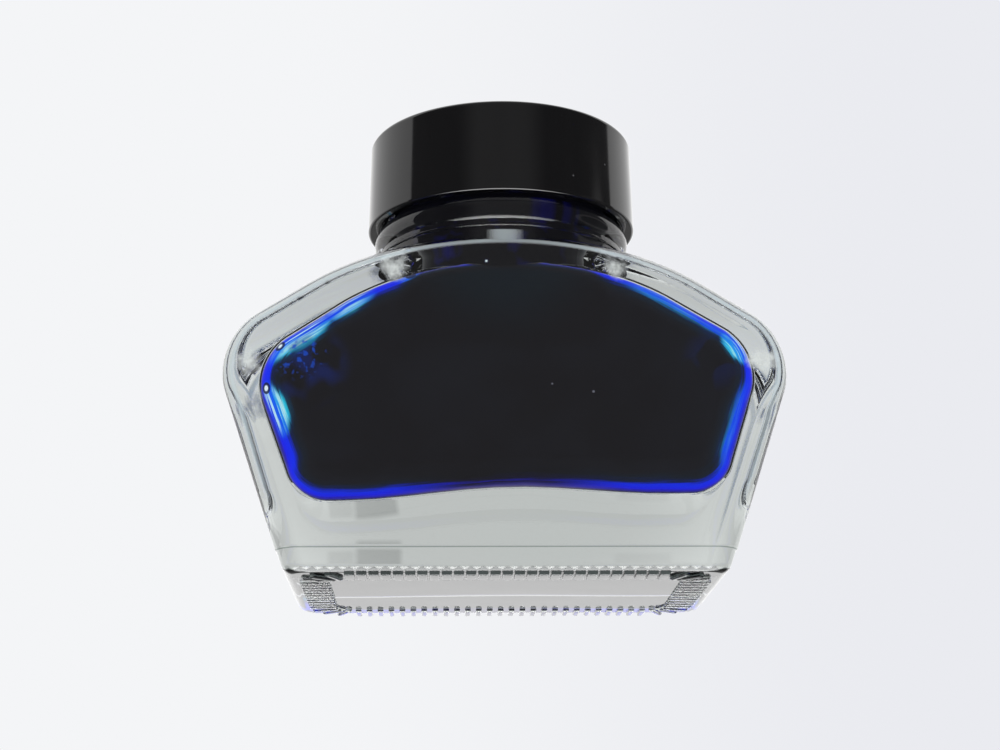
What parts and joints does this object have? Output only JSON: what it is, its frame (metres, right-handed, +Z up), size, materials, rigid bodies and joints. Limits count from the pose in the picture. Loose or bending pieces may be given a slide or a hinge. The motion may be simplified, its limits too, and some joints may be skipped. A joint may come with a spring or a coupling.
{
  "type": "ink bottle",
  "caption": "Flat five-sided bottle of heavy clear glass, filled with dark blue ink, with a thick base, a short beaded neck and a smooth black screw cap.",
  "frame": {"origin": "centre of the underside that the bottle stands on, on the neck's axis", "axes": "+Z up along the neck's axis, +X along the bottle's width, flat front face towards -Y"},
  "size_m": [0.0758, 0.0382, 0.0656],
  "materials": {
    "bottle_glass": "clear pressed glass, polished",
    "ink": "dark blue fountain pen ink, glossy liquid",
    "cap": "moulded black plastic, polished",
    "liner": "pressed white foam sheet"
  },
  "bodies": {
    "bottle": {"bottle_glass": "bottle_glass", "ink_fill": "ink"},
    "cap_lift_body": {"cap_liner": "liner"},
    "cap": {"cap_shell": "cap"}
  },
  "joints": [
    {"name": "cap_lift", "type": "slide", "parent": "bottle", "child": "cap_lift_body", "axis": [0, 0, 1], "range_m": [0, 0.0128]},
    {"name": "cap_turn", "type": "hinge", "parent": "cap_lift_body", "child": "cap", "pos_m": [0, 0, 0.05235], "axis": [0, 0, 1], "range_deg": [0, 1080]}
  ],
  "couplings": [
    {"joint": "cap_lift", "follows": "cap_turn", "m_per_rad": 0.0006737}
  ]
}
